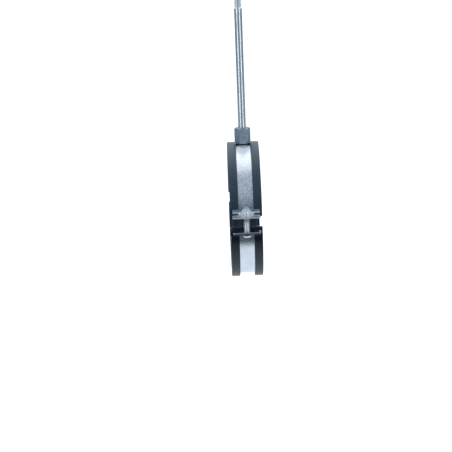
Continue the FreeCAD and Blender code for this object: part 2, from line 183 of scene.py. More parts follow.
def turned(outline, sides, axis=(0.0, 0.0)):
    """A turned bar: the outline runs from pole to pole as (radius, height)."""
    shape = bmesh.new()
    place = Vector((*axis, 0.0))
    rings = []
    for radius, height in outline[1:-1]:
        ring = []
        for side in range(sides):
            angle = 2 * pi * side / sides
            spot = Vector((radius * cos(angle), radius * sin(angle), height))
            ring.append(shape.verts.new((place + spot) * MM))
        rings.append(ring)
    for lower, upper in zip(rings, rings[1:]):
        bridge(shape, lower, upper)
    for ring, (_, height) in ((rings[0], outline[0]), (rings[-1], outline[-1])):
        pole = shape.verts.new((place + Vector((0.0, 0.0, height))) * MM)
        for side in range(sides):
            shape.faces.new((ring[side], ring[(side + 1) % sides], pole))
    return shape


def hexagon_reach(turn, flats_shade, rounding):
    """How far a hexagon with rounded corners reaches in a direction."""
    sector = radians(60)
    off = (turn + sector / 2) % sector - sector / 2
    inner = flats_shade / 2 - rounding
    aside = inner * tan(sector / 2)
    if abs(tan(off)) * flats_shade / 2 <= aside:
        return flats_shade / 2 / cos(off)
    along = inner * cos(off) + aside * sin(abs(off))
    away = aside * cos(off) - inner * sin(abs(off))
    return along + (rounding ** 2 - away ** 2) ** 0.5


def hexagon_head(seat, axis, turn):
    """Screw head below its seat: a hexagon with a 45 degree chamfer all round, softly edged."""
    shape = bmesh.new()
    place = Vector((*axis, 0.0))
    corner = HEAD_FLATS / 2 / cos(radians(30))
    chamfer = (corner - HEAD_TIP) * CHAMFER_OVERLAP
    levels = [0.0, HEAD_EASE]
    for step in range(CHAMFER_STEPS + 1):
        levels.append(HEAD_HEIGHT - chamfer * (1 - step / CHAMFER_STEPS))
    rings = []
    for depth in levels:
        cone = HEAD_TIP + HEAD_HEIGHT - depth
        ring = []
        for side in range(HEAD_SIDES):
            angle = 2 * pi * side / HEAD_SIDES
            reach = hexagon_reach(angle - turn, HEAD_FLATS, HEAD_ROUNDING)
            if depth == 0.0:
                reach -= HEAD_EASE
            # The nearer of the hexagon and the cone, blended where they meet.
            near = 0.5 * (reach + cone - hypot(reach - cone, CHAMFER_SOFTNESS))
            spot = Vector((near * cos(angle), near * sin(angle), seat - depth))
            ring.append(shape.verts.new((place + spot) * MM))
        rings.append(ring)
    for upper, lower in zip(rings, rings[1:]):
        bridge(shape, lower, upper)
    shape.faces.new(rings[0])
    shape.faces.new(list(reversed(rings[-1])))
    return shape


def block(low, high):
    """A plain box, for cutting."""
    shape = bmesh.new()
    bmesh.ops.create_cube(shape, size=1.0)
    size = (Vector(high) - Vector(low)) * MM
    middle = (Vector(high) + Vector(low)) / 2 * MM
    placing = Matrix.Translation(middle) @ Matrix.Diagonal((*size, 1.0))
    bmesh.ops.transform(shape, matrix=placing, verts=shape.verts)
    return shape


def lining_section():
    """The lining's parts in section: ribbed inside, left lip, floor of the channel, right lip."""
    inside = [
        (LINING_HALF, LINING_OUTSIDE, 0),
        (LINING_HALF, RIB_ROOT, INNER_EDGE_ROUNDING),
        (RIB_CENTRES[0] + RIB_PITCH / 2, RIB_ROOT, RIB_FOOT_ROUNDING),
    ]
    for middle in RIB_CENTRES:
        inside += [
            (middle + RIB_TIP_HALF, SEAT_RADIUS, RIB_TIP_ROUNDING),
            (middle - RIB_TIP_HALF, SEAT_RADIUS, RIB_TIP_ROUNDING),
            (middle - RIB_PITCH / 2, RIB_ROOT, RIB_FOOT_ROUNDING),
        ]
    inside += [(-LINING_HALF, RIB_ROOT, INNER_EDGE_ROUNDING), (-LINING_HALF, LINING_OUTSIDE, 0)]
    left_lip = eased([
        (-LINING_HALF, LINING_OUTSIDE, 0),
        (-LINING_HALF, LIP_OUTSIDE, LIP_SHOULDER_ROUNDING),
        (-LIP_SPACING_HALF, LIP_OUTSIDE, LIP_NOSE_ROUNDING),
        (-LIP_SPACING_HALF, LIP_UNDERSIDE, LIP_UNDER_ROUNDING),
        (-CHANNEL_HALF, LIP_UNDERSIDE, 0),
        (-CHANNEL_HALF, LINING_OUTSIDE, 0),
    ])[1:-1]
    floor = [Vector((-CHANNEL_HALF, LINING_OUTSIDE)), Vector((CHANNEL_HALF, LINING_OUTSIDE))]
    right_lip = [Vector((-spot.x, spot.y)) for spot in reversed(left_lip)]
    return eased(inside), left_lip, floor, right_lip


def lining(name, under):
    """One half of the lining: a ribbed wall, with two lips that fold over the band.

    The lips stop short of the wall's ends, so that the band's ears can pass.
    """
    inside, left_lip, floor, right_lip = lining_section()
    section = inside + left_lip + floor + right_lip
    first_left = len(inside)
    first_floor = first_left + len(left_lip)
    first_right = first_floor + len(floor)
    whole = list(range(len(section)))
    wall = list(range(first_left)) + [first_floor, first_floor + 1]
    left_end = [first_left - 1] + list(range(first_left, first_floor + 1))
    right_end = [first_floor + 1] + list(range(first_right, len(section))) + [0]

    lip_angle = asin(LIP_END / LIP_OUTSIDE)
    arch = pi - 2 * lip_angle
    stations = [(lip_angle * step / END_STEPS, wall) for step in range(END_STEPS)]
    stations += [(lip_angle + arch * step / ARCH_STEPS, whole) for step in range(ARCH_STEPS + 1)]
    stations += [(pi - lip_angle * step / END_STEPS, wall) for step in reversed(range(END_STEPS))]

    shape = bmesh.new()
    rings = []
    for angle, spots in stations:
        ring = {}
        for spot in spots:
            across, out = section[spot]
            place = Vector((across, out * cos(angle), out * sin(angle)))
            if under:
                place = Vector((place.x, -place.y, -place.z - JOINT_GAP))
            ring[spot] = shape.verts.new(place * MM)
        rings.append(ring)
    for near, far in zip(rings, rings[1:]):
        order = wall if len(wall) in (len(near), len(far)) else whole
        for number, spot in enumerate(order):
            after = order[(number + 1) % len(order)]
            shape.faces.new((near[spot], near[after], far[after], far[spot]))
    for ring in (rings[END_STEPS], rings[-1 - END_STEPS]):
        for end in (left_end, right_end):
            shape.faces.new([ring[spot] for spot in end])
    for ring in (rings[0], rings[-1]):
        shape.faces.new([ring[spot] for spot in wall])
    return finished_mesh(name, shape, crease=40.0)


def weld_bead():
    """Weld round the boss's neck, rippled as it was laid, filling the room beside the lips."""
    shape = bmesh.new()
    rings = []
    for side in range(WELD_SIDES):
        angle = 2 * pi * side / WELD_SIDES
        ripple = sum(height * sin(angle * waves + start) for height, waves, start in WELD_RIPPLES)
        leg = WELD_OUTSIDE - WELD_INSIDE - WELD_RIPPLE_ROOM + ripple
        ring = []
        for step in range(WELD_STEPS + 1):
            turn = pi / 2 * step / WELD_STEPS
            reach = WELD_INSIDE + leg * cos(turn)
            saddle = (BAND_OUTSIDE ** 2 - (reach * sin(angle)) ** 2) ** 0.5
            rise = (WELD_TOP + ripple - saddle) * sin(turn)
            ring.append((reach * cos(angle), reach * sin(angle), saddle + rise))
        saddle = (BAND_OUTSIDE ** 2 - (WELD_INSIDE * sin(angle)) ** 2) ** 0.5
        ring.append((WELD_INSIDE * cos(angle), WELD_INSIDE * sin(angle), saddle))
        rings.append([shape.verts.new(Vector(place) * MM) for place in ring])
    for side in range(WELD_SIDES):
        bridge(shape, rings[side], rings[(side + 1) % WELD_SIDES])
    return finished_mesh("boss_weld", shape, crease=60.0)


def slotted_head(name, axis):
    """A clamp screw's head, with the slot cut across it."""
    head = finished_mesh(name + "_head", hexagon_head(SCREW_SEAT, axis, HEAD_TURN))
    under = SCREW_SEAT - HEAD_HEIGHT
    slot = finished_mesh(name + "_slot", block(
        (-HEAD_FLATS, axis[1] - SLOT_WIDTH / 2, under - SLOT_WIDTH),
        (HEAD_FLATS, axis[1] + SLOT_WIDTH / 2, under + SLOT_DEPTH)))
    cutting = head.modifiers.new("slot", "BOOLEAN")
    cutting.object = slot
    cutting.solver = "EXACT"
    bake(head)
    bpy.data.objects.remove(slot)
    return head


def clamp_screw(name, axis):
    """A clamp screw without its thread: a shank, turned down to the thread's root, and a head."""
    shape = turned([
        (0.0, SCREW_SEAT - SCREW_IN_HEAD),
        (SCREW_CREST, SCREW_SEAT - SCREW_IN_HEAD),
        (SCREW_CREST, SCREW_SHANK_TOP - 0.3),
        (SCREW_CREST - 0.08, SCREW_SHANK_TOP - 0.1),
        (SCREW_ROOT, SCREW_SHANK_TOP + 0.5),
        (SCREW_ROOT, SCREW_END - 0.35),
        (SCREW_ROOT - 0.3, SCREW_END),
        (0.0, SCREW_END),
    ], SCREW_SIDES, axis)
    head = slotted_head(name, axis)
    shape.from_mesh(head.data)
    bpy.data.objects.remove(head)
    return finished_mesh(name, shape, crease=30.0)


def hanger_rod():
    """The rod without its upper thread: a plain bar, turned down inside the boss and at its top."""
    return finished_mesh("threaded_rod", turned([
        (0.0, ROD_FOOT),
        (ROD_CONTACT - END_BEVEL, ROD_FOOT),
        (ROD_CONTACT, ROD_FOOT + END_BEVEL),
        (ROD_CONTACT, BOSS_TOP - 0.55),
        (ROD_CREST - 0.1, BOSS_TOP - 0.3),
        (ROD_CREST, BOSS_TOP - 0.2),
        (ROD_CREST, ROD_SHANK_TOP - 0.7),
        (ROD_CREST - 0.04, ROD_SHANK_TOP - 0.5),
        (ROD_CREST - 0.14, ROD_SHANK_TOP - 0.3),
        (ROD_ROOT, ROD_SHANK_TOP + 0.4),
        (ROD_ROOT, ROD_TOP - TOP_BEVEL),
        (ROD_ROOT - TOP_BEVEL, ROD_TOP),
        (0.0, ROD_TOP),
    ], ROD_SIDES), crease=30.0)


# Nodes

def add_node(tree, kind, inputs, settings):
    """Add a node with its settings; an input is a value, or a socket to link it to."""
    made = tree.nodes.new(kind)
    for key, setting in settings.items():
        setattr(made, key, setting)
    for key, source in inputs.items():
        if isinstance(source, bpy.types.NodeSocket):
            tree.links.new(source, made.inputs[key])
        else:
            made.inputs[key].default_value = source
    return made.outputs


def thread_tree():
    """Geometry Nodes that wind a rolled ridge round a bar and join it on."""
    tree = bpy.data.node_groups.new("rolled_thread", "GeometryNodeTree")
    sockets = {}
    for label, kind in (
        ("Bar", "NodeSocketGeometry"),
        ("Root radius", "NodeSocketFloat"),
        ("Crest radius", "NodeSocketFloat"),
        ("Pitch", "NodeSocketFloat"),
        ("Turns", "NodeSocketFloat"),
        ("Run-out turns", "NodeSocketFloat"),
        ("Start", "NodeSocketVector"),
        ("Points per turn", "NodeSocketInt"),
        ("Finish", "NodeSocketMaterial"),
    ):
        made = tree.interface.new_socket(name=label, in_out="INPUT", socket_type=kind)
        sockets[label] = made.identifier
    tree.interface.new_socket(
        name="Threaded bar", in_out="OUTPUT", socket_type="NodeSocketGeometry")
    given = tree.nodes.new("NodeGroupInput").outputs

    def node(kind, inputs, **settings):
        return add_node(tree, kind, inputs, settings)

    def maths(operation, *values):
        return node("ShaderNodeMath", dict(enumerate(values)), operation=operation)["Value"]

    buried = maths("SUBTRACT", given["Root radius"], RIDGE_BURIED * MM)
    rise = maths("MULTIPLY", given["Pitch"], given["Turns"])
    path = node("GeometryNodeCurveSpiral", {
        "Resolution": given["Points per turn"], "Rotations": given["Turns"],
        "Start Radius": buried, "End Radius": buried, "Height": rise, "Reverse": True})["Curve"]
    upright = node("GeometryNodeSetCurveNormal", {"Curve": path}, mode="Z_UP")["Curve"]

    # The ridge's section is drawn as a small closed line with a rounded crest.
    height = maths("SUBTRACT", given["Crest radius"], buried)
    foot = maths("MULTIPLY", given["Pitch"], RIDGE_FOOT)
    brow = maths("MULTIPLY", given["Pitch"], RIDGE_BROW)
    shoulder = maths("MULTIPLY", height, RIDGE_SHOULDER)
    corners = (
        (0.0, maths("MULTIPLY", foot, -1.0)),
        (shoulder, maths("MULTIPLY", brow, -1.0)),
        (height, 0.0),
        (shoulder, brow),
        (0.0, foot),
    )
    ring = node("GeometryNodeCurvePrimitiveCircle", {
        "Resolution": len(corners), "Radius": 1.0}, mode="RADIUS")["Curve"]
    index = node("GeometryNodeInputIndex", {})["Index"]
    spot = node("FunctionNodeInputVector", {})["Vector"]
    for number, (out, along) in enumerate(corners):
        here = node("FunctionNodeCompare", {"A": index, "B": number},
                    data_type="INT", operation="EQUAL")["Result"]
        place = node("ShaderNodeCombineXYZ", {"X": out, "Y": along})["Vector"]
        spot = node("GeometryNodeSwitch", {"Switch": here, "False": spot, "True": place},
                    input_type="VECTOR")["Output"]
    section = node("GeometryNodeSetPosition", {"Geometry": ring, "Position": spot})["Geometry"]

    # The ridge fades out over its first and last turns.
    travelled = node("GeometryNodeSplineParameter", {})["Factor"]
    from_start = maths("MULTIPLY", travelled, given["Turns"])
    to_end = maths("SUBTRACT", given["Turns"], from_start)
    fade = maths("DIVIDE", maths("MINIMUM", from_start, to_end), given["Run-out turns"])
    scale = maths("MAXIMUM", maths("MINIMUM", fade, 1.0), RIDGE_END)
    ridge = node("GeometryNodeCurveToMesh", {
        "Curve": upright, "Profile Curve": section, "Scale": scale, "Fill Caps": True})["Mesh"]
    raised = node("GeometryNodeTransform", {
        "Geometry": ridge, "Translation": given["Start"]})["Geometry"]
    smooth = node("GeometryNodeSetShadeSmooth", {
        "Geometry": raised, "Shade Smooth": True})["Geometry"]
    joined = tree.nodes.new("GeometryNodeJoinGeometry")
    tree.links.new(smooth, joined.inputs["Geometry"])
    tree.links.new(given["Bar"], joined.inputs["Geometry"])
    real = node("GeometryNodeRealizeInstances", {
        "Geometry": joined.outputs["Geometry"]})["Geometry"]
    coated = node("GeometryNodeSetMaterial", {
        "Geometry": real, "Material": given["Finish"]})["Geometry"]
    node("NodeGroupOutput", {"Threaded bar": coated})
    return tree, sockets


def cut_thread(bar, finish, root, crest, pitch, run_out, low, high, points, out=0.0):
    """Wind a rolled thread round a bar, from its shank's top to its end, and bake it."""
    winding = bar.modifiers.new("thread", "NODES")
    winding.node_group = thread
    for label, setting in (
        ("Root radius", root * MM),
        ("Crest radius", crest * MM),
        ("Pitch", pitch * MM),
        ("Turns", (high - low - THREAD_SHORT) / pitch),
        ("Run-out turns", run_out),
        ("Start", (0.0, out * MM, (low + THREAD_START) * MM)),
        ("Points per turn", points),
        ("Finish", finish),
    ):
        winding[thread_sockets[label]] = setting
    bake(bar)


# Finishes

# A Mix node has sockets for each kind of value; these are the ones that blend colours.
MIX_FACTOR, MIX_UNDER, MIX_OVER, MIX_RESULT = 0, 6, 7, 2


class Finish:
    """A material under construction: its node tree, and short ways to add nodes to it."""

    def __init__(self, name):
        self.material = bpy.data.materials.new(name)
        self.material.use_nodes = True
        self.start(self.material.node_tree, "Object")

    def start(self, tree, place):
        """Clear the tree, and choose the coordinates that its patterns lie on."""
        self.tree = tree
        self.tree.nodes.clear()
        self.place = self.node("ShaderNodeTexCoord", {})[place]

    def node(self, kind, inputs, **settings):
        return add_node(self.tree, kind, inputs, settings)

    def maths(self, operation, *values, clamp=False):
        return self.node("ShaderNodeMath", dict(enumerate(values)),
                         operation=operation, use_clamp=clamp)["Value"]

    def times(self, first, *others):
        """All the factors multiplied."""
        for other in others:
            first = self.maths("MULTIPLY", first, other)
        return first

    def along(self, axis):
        """Position along X, Y or Z."""
        return self.node("ShaderNodeSeparateXYZ", {"Vector": self.place})[axis]

    def from_middle(self, axis):
        """Distance from the middle plane along X or Y, on either side."""
        return self.maths("ABSOLUTE", self.along(axis))

    def distance(self, one, other):
        """Length of the line with these two legs."""
        squares = self.maths("ADD", self.times(one, one), self.times(other, other))
        return self.maths("SQRT", squares)

    def from_screw(self):
        """Distance from the nearer clamp screw's axis."""
        out = self.maths("SUBTRACT", self.from_middle("Y"), SCREW_REACH * MM)
        return self.distance(self.along("X"), out)

    def ramp(self, factor, low, high, start=0.0, end=1.0):
        """Map a factor from low..high to start..end."""
        return self.node("ShaderNodeMapRange", {
            "Value": factor, "From Min": low, "From Max": high,
            "To Min": start, "To Max": end})["Result"]

    def zone(self, length, edge, inside, least=0.0, most=1.0):
        """Rise from least at a zone's edge to most inside it, both given in millimetres."""
        return self.ramp(length, edge * MM, inside * MM, least, most)

    def either(self, factor, off, on):
        """One value where the factor is 0, another where it is 1."""
        return self.ramp(factor, 0.0, 1.0, off, on)

    def blend(self, factor, under, over):
        """Lay a colour over another one, as far as the factor says."""
        mix = self.tree.nodes.new("ShaderNodeMix")
        mix.data_type = "RGBA"
        self.tree.links.new(factor, mix.inputs[MIX_FACTOR])
        for socket, colour in ((mix.inputs[MIX_UNDER], under), (mix.inputs[MIX_OVER], over)):
            if isinstance(colour, bpy.types.NodeSocket):
                self.tree.links.new(colour, socket)
            else:
                socket.default_value = (*colour, 1.0)
        return mix.outputs[MIX_RESULT]

    def grain(self, size, detail=2.0, stretch=(1.0, 1.0, 1.0), roughness=0.5):
        """Noise whose patches are about a size in millimetres, stretched along the axes."""
        scale = tuple(1.0 / (size * MM * along) for along in stretch)
        spot = self.node("ShaderNodeMapping", {"Vector": self.place, "Scale": scale})["Vector"]
        return self.node("ShaderNodeTexNoise", {
            "Vector": spot, "Scale": 1.0, "Detail": detail, "Roughness": roughness})["Fac"]

    def bump(self, height, depth):
        """Bump whose depth is in millimetres."""
        return self.node("ShaderNodeBump", {
            "Height": height, "Strength": 1.0, "Distance": depth * MM})["Normal"]

    def done(self, **inputs):
        named = {key.replace("_", " "): setting for key, setting in inputs.items()}
        shader = self.node("ShaderNodeBsdfPrincipled", named)["BSDF"]
        self.node("ShaderNodeOutputMaterial", {"Surface": shader})
        return self.material


ZINC_DULL = (0.665, 0.70, 0.74)
ZINC_BRIGHT = (0.755, 0.79, 0.83)
ZINC_SCUFF_AND_SHADE = (0.34, 0.40, 0.47)
ZINC_SCRATCHED = (0.96, 0.98, 1.0)
ZINC_PAINTED_HIGHLIGHT = (1.0, 1.0, 1.0)
ZINC_DRAWN = (0.97, 0.99, 1.0)
ZINC_PAINTED_LIGHT = (0.90, 0.94, 0.98)
EDGE_PAINTED_HIGHLIGHT = (0.95, 0.98, 1.0)
EDGE_PAINTED_SHADE = (0.16, 0.18, 0.21)
EAR_PAINTED_SHADE = (0.09, 0.10, 0.12)

RUBBER_DARK = (0.009, 0.024, 0.047)
RUBBER_LIGHT = (0.024, 0.048, 0.084)
RUBBER_UPPER_TONE = (0.11, 0.12, 0.13)
RUBBER_PAINTED_SHADE = (0.003, 0.006, 0.012)
RUBBER_EDGE_TINT = (0.82, 0.94, 1.0, 1.0)

BOSS_DARK = (0.385, 0.475, 0.54)
BOSS_LIGHT = (0.57, 0.665, 0.735)
BOSS_RIM_SHADE = (0.16, 0.20, 0.24)
BOSS_FOOT_HIGHLIGHT = (0.56, 0.61, 0.66)
BOSS_NECK_SHADE = (0.035, 0.035, 0.04)

ROD_DULL = (0.85, 0.915, 0.97)
ROD_BRIGHT = (0.92, 0.97, 1.0)

SCREW_DULL = (0.88, 0.91, 0.95)
SCREW_BRIGHT = (0.95, 0.97, 0.99)
SCREW_FLATS_SHADE = (0.13, 0.15, 0.18)
SCREW_PAINTED_SHADE = (0.20, 0.23, 0.27)

# Roughness, from the one end of a finish's grain to the other. What is smoother has a share of it.
ZINC_SATIN = (0.46, 0.20)
ZINC_SMOOTHER = 0.55
ZINC_BURNISHED = 0.12
ZINC_SHEARED = 0.45
ZINC_HEAT_MATT = 0.62
RUBBER_MATT = (0.36, 0.47)
RUBBER_SMOOTHER = 0.45
BOSS_SATIN = (0.42, 0.54)
ROD_SATIN = (0.26, 0.36)
SCREW_SATIN = (0.24, 0.36)

# Where marks on the zinc start and where they are full, in millimetres. ABOVE and BELOW are
# heights, ACROSS is off the band's middle, OUT off the boss's plane, ROUND off an axis.
RING_OUT = (BAND_OUTSIDE + 0.7, BAND_OUTSIDE + 0.1)
SCUFFS_ABOVE = (50.0, 36.0)
SCUFFS_BELOW = (-26.0, -13.0)
ROLLED_ABOVE = (34.0, 40.0)
ROLLED_BELOW = (56.0, 48.0)
ROLLED_ACROSS = (6.5, 3.0)
SHEARED_OUT = (EAR_EDGE - 0.3, EAR_EDGE - 0.1)
EDGE_SHADE_BELOW = (LOWER_EAR_TOP - 0.25, LOWER_EAR_TOP - 0.55)
RING_SHADE_BELOW = (15.0, 9.0)
RING_SHADE_ABOVE = (5.5, 7.5)
BEND_OUT_FROM = (BAND_OUTSIDE + 0.1, BAND_OUTSIDE + 0.4)
BEND_OUT_TO = (BAND_OUTSIDE + 3.4, BAND_OUTSIDE + 2.8)
BEND_ACROSS = (5.5, 7.5)
BEND_ABOVE = (UPPER_EAR_TOP - 0.35, UPPER_EAR_TOP - 0.05)
GUSSET_ABOVE = (UPPER_EAR_TOP + 0.05, UPPER_EAR_TOP + 0.35)
COLLAR_ROUND = (5.2, 4.2)
COLLAR_ABOVE = (1.0, 2.0)
EAR_SHADE_ROUND = (9.0, 5.6)
EAR_SHADE_BELOW = (LOWER_EAR_TOP + 1.75, LOWER_EAR_TOP + 0.75)
EAR_SHADE_ABOVE = (LOWER_EAR_TOP - 0.55, LOWER_EAR_TOP - 0.25)
SMOOTHER_BELOW = (-12.0, -24.0)
MATT_AND_LIT_ROUND = (24.0, 13.0)
MATT_AND_LIT_ABOVE = (40.0, 50.0)

# Roll marks: radians of wave for each radian round the ring, and where the wave starts.
ROLL_LINES = 158.6
ROLL_START = -3.52

# The same places on the rubber, the boss and the screws.
UPPER_TONE_ABOVE = (8.0, 26.0)
LOWER_SHADE_BELOW = (-14.0, -22.0)
RUBBED_ABOVE = (-29.0, -22.0)
UPPER_HALF_ABOVE = (-12.0, -8.0)
RIM_ABOVE = (BOSS_TOP - 0.5, BOSS_TOP - 0.1)
FOOT_BELOW = (BOSS_FLOOR + 0.9, BOSS_FLOOR + 0.3)
NECK_SHADE_BELOW = (BOSS_FLOOR - 0.05, BOSS_FLOOR - 0.2)
NECK_SHADE_ABOVE = (BOSS_FLOOR - 1.9, BOSS_FLOOR - 1.5)
FLATS_INSIDE = (0.10, 0.40)
HEAD_BELOW = (SCREW_SEAT + 0.1, SCREW_SEAT)
SHANK_SHADE_ABOVE = (-8.0, 0.5)
SHANK_SHADE_BELOW = (3.4, 3.0)


def zinc_plated_sheet():
    """Bright zinc on rolled sheet: finely mottled, scuffed and roll-marked, with painted highlights
    and painted shade about the ears, the screws and the boss.
    """
    finish = Finish("zinc_plated_sheet")
    fine = finish.grain(1.5, detail=2.0, roughness=0.6)
    patches = finish.ramp(finish.grain(9.0, detail=2.0), 0.3, 0.7)
    colour = finish.blend(patches, ZINC_DULL, ZINC_BRIGHT)
    across = finish.from_middle("X")
    out = finish.from_middle("Y")
    height = finish.along("Z")
    from_screw = finish.from_screw()
    ring = finish.zone(out, *RING_OUT)
    off_ring = finish.either(ring, 1.0, 0.0)

    # Towards the ears the ring is scuffed: dark and bright specks, above the joint more than below.
    scuffed = finish.times(finish.zone(height, *SCUFFS_ABOVE), finish.zone(height, *SCUFFS_BELOW),
                           ring, finish.ramp(finish.grain(6.0), 0.40, 0.56, start=0.45))
    specks = finish.grain(1.7, detail=2.5, roughness=0.75)
    for low, high, shade in ((0.50, 0.36, ZINC_SCUFF_AND_SHADE), (0.52, 0.64, ZINC_SCRATCHED)):
        share = finish.ramp(specks, low, high, end=0.9)
        colour = finish.blend(finish.times(share, scuffed), colour, shade)

    # The forming rolls left faint lines across the upper half.
    around = finish.maths("ARCTAN2", height, out)
    wave = finish.maths("COSINE", finish.maths("MULTIPLY_ADD", around, ROLL_LINES, ROLL_START))
    rolled = finish.times(finish.zone(height, *ROLLED_ABOVE), finish.zone(height, *ROLLED_BELOW),
                          finish.zone(across, *ROLLED_ACROSS), finish.either(wave, 0.0, 0.20))
    colour = finish.blend(rolled, colour, ZINC_SCUFF_AND_SHADE)

    # The ears' sheared ends are painted bright as a highlight, and the lower ones painted dark
    # below their upper edge as shade.
    sheared = finish.zone(out, *SHEARED_OUT)
    colour = finish.blend(sheared, colour, EDGE_PAINTED_HIGHLIGHT)
    lower_edge_shade = finish.times(finish.zone(height, *EDGE_SHADE_BELOW, most=0.95), sheared)
    colour = finish.blend(lower_edge_shade, colour, EDGE_PAINTED_SHADE)

    # Painted shade darkens the upper ring just above its ears.
    ring_shade_above_ears = finish.times(finish.zone(height, *RING_SHADE_BELOW, most=0.5),
                          finish.zone(height, *RING_SHADE_ABOVE), ring)
    colour = finish.blend(ring_shade_above_ears, colour, ZINC_SCUFF_AND_SHADE)

    # Painted highlights brighten the upper bends beside the gussets and the gussets; the drawn
    # collars are painted lighter too.
    bend_highlight = finish.times(finish.zone(out, *BEND_OUT_FROM), finish.zone(out, *BEND_OUT_TO),
                        finish.zone(across, *BEND_ACROSS), finish.zone(height, *BEND_ABOVE))
    colour = finish.blend(bend_highlight, colour, ZINC_PAINTED_HIGHLIGHT)
    gusset_highlight = finish.times(finish.either(ring, 0.35, 0.0), finish.zone(height, *GUSSET_ABOVE))
    colour = finish.blend(gusset_highlight, colour, ZINC_PAINTED_HIGHLIGHT)
    collar = finish.times(finish.zone(from_screw, *COLLAR_ROUND),
                          finish.zone(height, *COLLAR_ABOVE))
    colour = finish.blend(collar, colour, ZINC_DRAWN)

    # Painted shade darkens the lower ears on top, where the upper ears shade them, most round the
    # screws.
    painted_shade = finish.times(finish.zone(from_screw, *EAR_SHADE_ROUND, least=0.84, most=0.9),
                         finish.zone(height, *EAR_SHADE_BELOW), finish.zone(height, *EAR_SHADE_ABOVE),
                         finish.either(sheared, 1.0, 0.0), off_ring)
    colour = finish.blend(painted_shade, colour, EAR_PAINTED_SHADE)

    # The ring is satin, smoother below; the ears are burnished by the press, but for their ends.
    smoother = finish.zone(height, *SMOOTHER_BELOW, least=1.0, most=ZINC_SMOOTHER)
    gloss = finish.times(finish.ramp(fine, 0.35, 0.65, *ZINC_SATIN), smoother)
    gloss = finish.either(ring, ZINC_BURNISHED, gloss)
    gloss = finish.either(sheared, gloss, ZINC_SHEARED)

    # The zinc round the boss is matt from the weld's heat, and painted lighter there as painted
    # light.
    from_boss = finish.distance(finish.along("X"), finish.along("Y"))
    matt_and_lit_round_boss = finish.times(finish.zone(from_boss, *MATT_AND_LIT_ROUND), finish.zone(height, *MATT_AND_LIT_ABOVE))
    gloss = finish.either(matt_and_lit_round_boss, gloss, ZINC_HEAT_MATT)
    colour = finish.blend(finish.times(matt_and_lit_round_boss, 0.7), colour, ZINC_PAINTED_LIGHT)
    relief = finish.bump(finish.times(fine, ring), 0.05)
    return finish.done(Base_Color=colour, Metallic=1.0, Roughness=gloss, Normal=relief)


def lining_rubber():
    """Black extruded rubber with fine lines along it, faintly lighter on the upper half, and
    darkened with painted shade on the lower half.
    """
    finish = Finish("lining_rubber")
    dust = finish.grain(2.6, detail=4.0, roughness=0.6)
    height = finish.along("Z")
    colour = finish.blend(finish.ramp(dust, 0.35, 0.7), RUBBER_DARK, RUBBER_LIGHT)
    # The upper half is faintly lighter; painted shade darkens the lower half, under the ears.
    colour = finish.blend(finish.zone(height, *UPPER_TONE_ABOVE, most=0.16), colour, RUBBER_UPPER_TONE)
    colour = finish.blend(finish.zone(height, *LOWER_SHADE_BELOW, most=0.92), colour, RUBBER_PAINTED_SHADE)
    # Under the lower ears the rubber is rubbed smooth.
    gloss = finish.ramp(dust, 0.3, 0.7, *RUBBER_MATT)
    rubbed = finish.zone(height, *RUBBED_ABOVE, least=1.0, most=RUBBER_SMOOTHER)
    rubbed = finish.either(finish.zone(height, *UPPER_HALF_ABOVE), rubbed, 1.0)
    lines = finish.grain(0.45, detail=2.0, stretch=(1.0, 90.0, 90.0))
    return finish.done(
        Base_Color=colour, Roughness=finish.times(gloss, rubbed), Normal=finish.bump(lines, 0.02),
        Specular_IOR_Level=0.58, Specular_Tint=RUBBER_EDGE_TINT)


def dull_boss_steel():
    """Turned hexagon bar, dull grey plated, with painted shade on its top rim and neck and a
    painted highlight at its foot.
    """
    finish = Finish("boss_steel")
    fine = finish.grain(0.9, detail=3.0, roughness=0.6)
    wide = finish.ramp(finish.grain(2.6, detail=2.0), 0.36, 0.64)
    height = finish.along("Z")
    colour = finish.blend(wide, BOSS_DARK, BOSS_LIGHT)
    # Painted shade darkens the top rim.
    colour = finish.blend(finish.zone(height, *RIM_ABOVE, most=0.75), colour, BOSS_RIM_SHADE)
    # A painted highlight lightens the foot.
    colour = finish.blend(finish.zone(height, *FOOT_BELOW), colour, BOSS_FOOT_HIGHLIGHT)
    # Painted shade darkens the neck under the hexagon.
    neck_shade = finish.times(finish.zone(height, *NECK_SHADE_BELOW), finish.zone(height, *NECK_SHADE_ABOVE))
    colour = finish.blend(neck_shade, colour, BOSS_NECK_SHADE)
    gloss = finish.ramp(fine, 0.3, 0.7, *BOSS_SATIN)
    return finish.done(
        Base_Color=colour, Metallic=1.0, Roughness=gloss, Normal=finish.bump(fine, 0.06))


def bright_rod_steel():
    """Zinc-plated bar, with fine draw lines along it."""
    finish = Finish("rod_steel")
    fine = finish.grain(0.5, detail=2.0, stretch=(1.0, 1.0, 40.0))
    wide = finish.ramp(finish.grain(7.0, detail=2.0), 0.35, 0.65)
    colour = finish.blend(wide, ROD_DULL, ROD_BRIGHT)
    gloss = finish.ramp(fine, 0.3, 0.7, *ROD_SATIN)
    return finish.done(
        Base_Color=colour, Metallic=1.0, Roughness=gloss, Normal=finish.bump(fine, 0.008))


